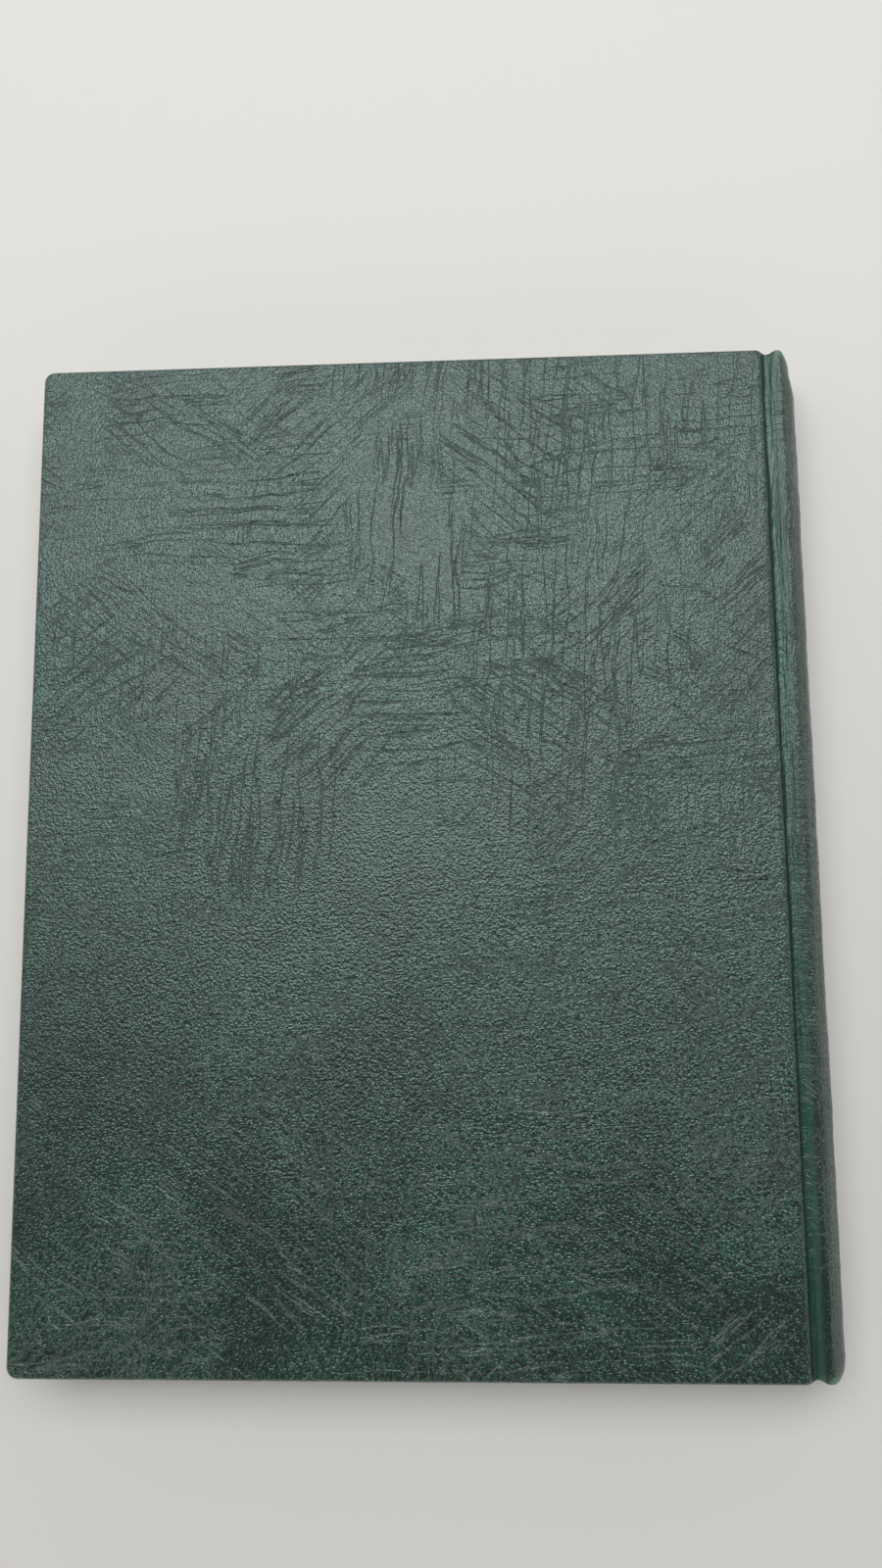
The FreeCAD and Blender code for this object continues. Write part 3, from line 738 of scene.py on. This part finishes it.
def mull_hinge(side):
    """The mull from the shoulder of the block to the inside of the board."""
    depth = BOARD_FACE - 0.15 * MM
    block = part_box("back_mull_hinge")
    line = [(x, depth) for x in spaced(EDGE - 0.6 * MM, SHOULDER - 0.2 * MM, 0.6 * MM)]
    line += [(block[1].x - 0.2 * MM, THICK - block[0].z - 0.05 * MM)]
    points, faces = sheet_parts(line, 0.25 * MM, (-WING_HIGH.y, WING_HIGH.y))
    surface = Surface().add(from_side(points, side), faces)
    made = surface.make(side + "_mull_strip", MULL, "mull", flip=side == "back")
    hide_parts(side + "_mull_hinge")
    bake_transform(made)


def turning_leaf(side, node, depth, thick, bend_over, material, slot, seed):
    """A turning leaf, flat but for a slight drop at the shoulder. Its points lie closer together over a width
    of bend_over out from the block's shoulder.
    """
    local = np.random.default_rng(seed)
    left = LEAF_LEFT + local.uniform(0.0, 0.25) * MM
    end = SHOULDER - bend_over - 2 * MM
    line = [(x, depth) for x in spaced(left, end, 12 * MM)]
    line += [(x, depth) for x in spaced(end, SHOULDER - 0.5 * MM, 0.9 * MM)[1:]]
    line += [(SHOULDER - 0.15 * MM, depth - 0.03 * MM), (SHOULDER - 0.02 * MM, depth - 0.09 * MM)]
    trim = LEAF_TOP - local.uniform(0.0, 0.2) * MM
    points, faces = sheet_parts(line, thick, (-trim, 0, trim))
    surface = Surface().add(from_side(points, side), faces, tone=local.uniform(0, 1))
    made = surface.make(node + "_paper", material, slot, flip=side == "back")
    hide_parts(node)
    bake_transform(made)


for side in SIDES:
    board(side)
    endpaper(side)
    mull_hinge(side)
    low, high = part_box("front_flyleaf")
    turning_leaf(side, side + "_flyleaf", (low.z + high.z) / 2, ENDPAPER_THICK,
                 16 * MM, ENDPAPER, "endpaper", 70)
    for leaf in range(1, LEAVES + 1):
        node = f"{side}_leaf_{leaf}"
        low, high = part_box(f"front_leaf_{leaf}")
        turning_leaf(side, node, (low.z + high.z) / 2, LEAF_THICK, (16 + 8 * leaf) * MM,
                     LEDGER, "ledger_paper", 80 + leaf)


# ---------------------------------------------------------------- the block
def section(number, node):
    """Four folded sheets, one inside another. The halves of sheets that turn are other pieces: all the lower
    halves and the inner upper ones in the first section, and the other way round in the last."""
    low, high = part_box(node)
    local = np.random.default_rng(200 + number)
    first, last = number == 0, number == len(SECTIONS) - 1
    surface = Surface()
    for sheet in range(SHEETS):
        opposite = 2 * SHEETS - 1 - sheet
        under, over = low.z + (sheet + 0.5) * LEAF_PITCH, low.z + (opposite + 0.5) * LEAF_PITCH
        radius = (over - under) / 2
        centre = high.x - 0.5 * MM - 0.05 * MM * sheet
        turns = np.linspace(-math.pi / 2, math.pi / 2, 9)
        arc = [(centre + radius * 0.9 * math.cos(a), under + radius + radius * math.sin(a)) for a in turns]
        left = [low.x + local.uniform(0.0, 0.22) * MM for _ in range(2)]
        bare = centre - 40 * MM
        lower, upper = [(left[0], under), (bare, under)], [(bare, over), (left[1], over)]
        if first or (last and sheet >= 2 * SHEETS - LEAVES):
            lower = []
        if last or (first and opposite < LEAVES):
            upper = []
        trim = LEAF_TOP - local.uniform(0.0, 0.18) * MM
        points, faces = sheet_parts(lower + arc + upper, LEAF_THICK, (-trim, trim))
        surface.add(points, faces, tone=local.uniform(0, 1))
    made = surface.make(node + "_sheets", EDGES, "ledger_paper")
    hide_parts(node)
    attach(made, "text_block")


def page_face(side):
    """The ruled page that shows when every turning leaf is over."""
    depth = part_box(f"front_leaf_{LEAVES}")[1].z + 0.02 * MM
    line = [(LEAF_LEFT + 0.3 * MM, depth), (SHOULDER - 0.6 * MM, depth)]
    points, faces = sheet_parts(line, 0.02 * MM, (-LEAF_TOP + 0.2 * MM, LEAF_TOP - 0.2 * MM))
    surface = Surface().add(from_side(points, side), faces)
    made = surface.make(side + "_open_page", LEDGER, "ledger_paper", flip=side == "back")
    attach(made, "text_block")


for number, node in enumerate(SECTIONS):
    section(number, node)
for side in SIDES:
    page_face(side)


def wound_band(node, y):
    """A cord bent round the block's back and wound with threads, centred on that y."""
    low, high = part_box(node)
    radius = 0.86 * MM
    turn_radius = 9.1 * MM
    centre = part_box("spine_mull")[1].x - 1.75 * MM - turn_radius
    half_turn = math.asin((high.z - low.z - 2 * radius) / 2 / turn_radius)
    thread_pitch = 0.42 * MM
    threads = int(2 * half_turn * turn_radius / thread_pitch)
    samples = threads * 6 + 1
    around = 14
    t = np.linspace(0, 1, samples)
    turn = (t - 0.5) * 2 * half_turn
    a = np.linspace(0, math.tau, around, endpoint=False)
    ridge = radius * (1 - 0.09 * np.cos(t * threads * math.tau) ** 2)
    ends = np.sqrt(np.clip(1 - (np.abs(t - 0.5) * 2) ** 24, 0.02, 1))
    r = (ridge * ends)[:, None]
    out = turn_radius + r * np.cos(a)
    x, z = centre + out * np.cos(turn)[:, None], MIDDLE + out * np.sin(turn)[:, None]
    points = np.stack([x, y + r * np.sin(a), z], -1)
    faces = loop_faces(samples, around)
    faces += [tuple(range(around))[::-1], tuple(range((samples - 1) * around, samples * around))]
    surface = Surface().add(points, faces, wound=np.repeat(t * threads, around))
    made = surface.make(node + "_wound", BAND, "band", flip=True)
    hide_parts(node)
    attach(made, "text_block")


for node in ("head_band", "tail_band"):
    low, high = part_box(node)
    wound_band(node, (low.y + high.y) / 2)


def spine_card():
    """The curved card under the spine's cloth, whose ends lean in with it."""
    low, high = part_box("spine_inlay")
    centre, _ = spine_arc()
    outer = high.x - centre - 0.03 * MM
    inner = outer - 0.75 * MM
    turn = math.asin((high.z - MIDDLE) / (outer + 0.05 * MM))
    turns = np.linspace(-turn, turn, 41)
    lean = 14 * MM
    rows = np.concatenate([
        spaced(low.y, low.y + lean, 0.8 * MM),
        spaced(low.y + lean, high.y - lean, 12 * MM)[1:],
        spaced(high.y - lean, high.y, 0.8 * MM)[1:],
    ])
    sides = ((outer, turns), (inner, turns[::-1]))
    loop = np.concatenate([np.stack([r * np.cos(t), r * np.sin(t)], 1) for r, t in sides])
    count = len(loop)
    points = np.zeros((len(rows), count, 3))
    points[:, :, 1] = rows[:, None]
    points[:, :, 2] = MIDDLE + loop[:, 1]
    across = centre + loop[:, 0]
    points[:, :, 0] = across - drawn_in(across[None, :] + 0.4 * MM, points[:, :, 1])
    faces = loop_faces(len(rows), count) + strip_caps(count, (len(rows) - 1) * count)
    made = Surface().add(points, faces).make("spine_card", CARD, "spine_card")
    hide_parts("spine_inlay")
    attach(made, "text_block")


spine_card()

# what is still a CAD node takes the look of its slot
SLOTS = {part["node"]: part["material_slot"] for part in frame["record"]["subparts"]}
for name, node in frame["nodes"].items():
    if not node.hide_render:
        node.data.materials.clear()
        node.data.materials.append(CAD_LOOKS[SLOTS[name]])


# ---------------------------------------------------------------- floor, light and camera
def floor():
    """A plain pale table."""
    paint = Nodes("floor_paint")
    paint.set(Base_Color=colour(0.67, 0.655, 0.63), Roughness=0.65)
    far = 3.0
    mesh = bpy.data.meshes.new("floor")
    mesh.from_pydata([(-far, -far, 0), (far, -far, 0), (far, far, 0), (-far, far, 0)], [], [(0, 1, 2, 3)])
    mesh.materials.append(paint.material)
    piece = bpy.data.objects.new("floor", mesh)
    bpy.context.scene.collection.objects.link(piece)


def area_light(name, place, size, power, tint):
    """A panel of that size and power, in metres and watts, facing the middle of the book."""
    data = bpy.data.lights.new(name, "AREA")
    data.shape = "RECTANGLE"
    data.size, data.size_y = size
    data.energy = power
    data.color = tint
    made = bpy.data.objects.new(name, data)
    made.location = place
    made.rotation_euler = (-Vector(place)).to_track_quat("-Z", "Y").to_euler()
    bpy.context.scene.collection.objects.link(made)


floor()
# a window behind the head and a weaker panel on each side, so that the sheen fades towards the tail
area_light("window", (-0.05, 0.545, 1.14), (1.4, 0.73), 12.8, (0.97, 0.99, 1.0))
area_light("left", (-0.60, 0.24, 1.15), (0.42, 0.5), 1.0, (0.98, 0.99, 1.0))
area_light("right", (0.46, 0.22, 1.2), (0.34, 0.5), 1.3, (0.98, 0.99, 1.0))

# the room: bright walls up to 20 degrees above the table, fading to a dark ceiling
world = bpy.data.worlds.new("room")
world.use_nodes = True
tree = world.node_tree
height = tree.nodes.new("ShaderNodeSeparateXYZ")
walls = tree.nodes.new("ShaderNodeValToRGB")
low_wall, ceiling = walls.color_ramp.elements
low_wall.position, low_wall.color = 0.35, (1.15, 1.13, 1.10, 1)
ceiling.position, ceiling.color = 0.68, (0.05, 0.05, 0.05, 1)
tree.links.new(tree.nodes.new("ShaderNodeTexCoord").outputs["Generated"], height.inputs[0])
tree.links.new(height.outputs["Z"], walls.inputs[0])
tree.links.new(walls.outputs[0], tree.nodes["Background"].inputs[0])
bpy.context.scene.world = world
bpy.context.scene.view_settings.view_transform = "Standard"

# the camera is close above the book, a little towards the spine and the tail, as in the photograph
camera_data = bpy.data.cameras.new("camera")
camera_data.lens = 26
camera_data.sensor_width = 36
camera_data.clip_start = 0.01
camera = bpy.data.objects.new("camera", camera_data)
camera.location = (0.02033, -0.0265, 0.33707)
camera.rotation_euler = tuple(math.radians(a) for a in (7.638, 2.662, -0.554))
bpy.context.scene.collection.objects.link(camera)
bpy.context.scene.camera = camera
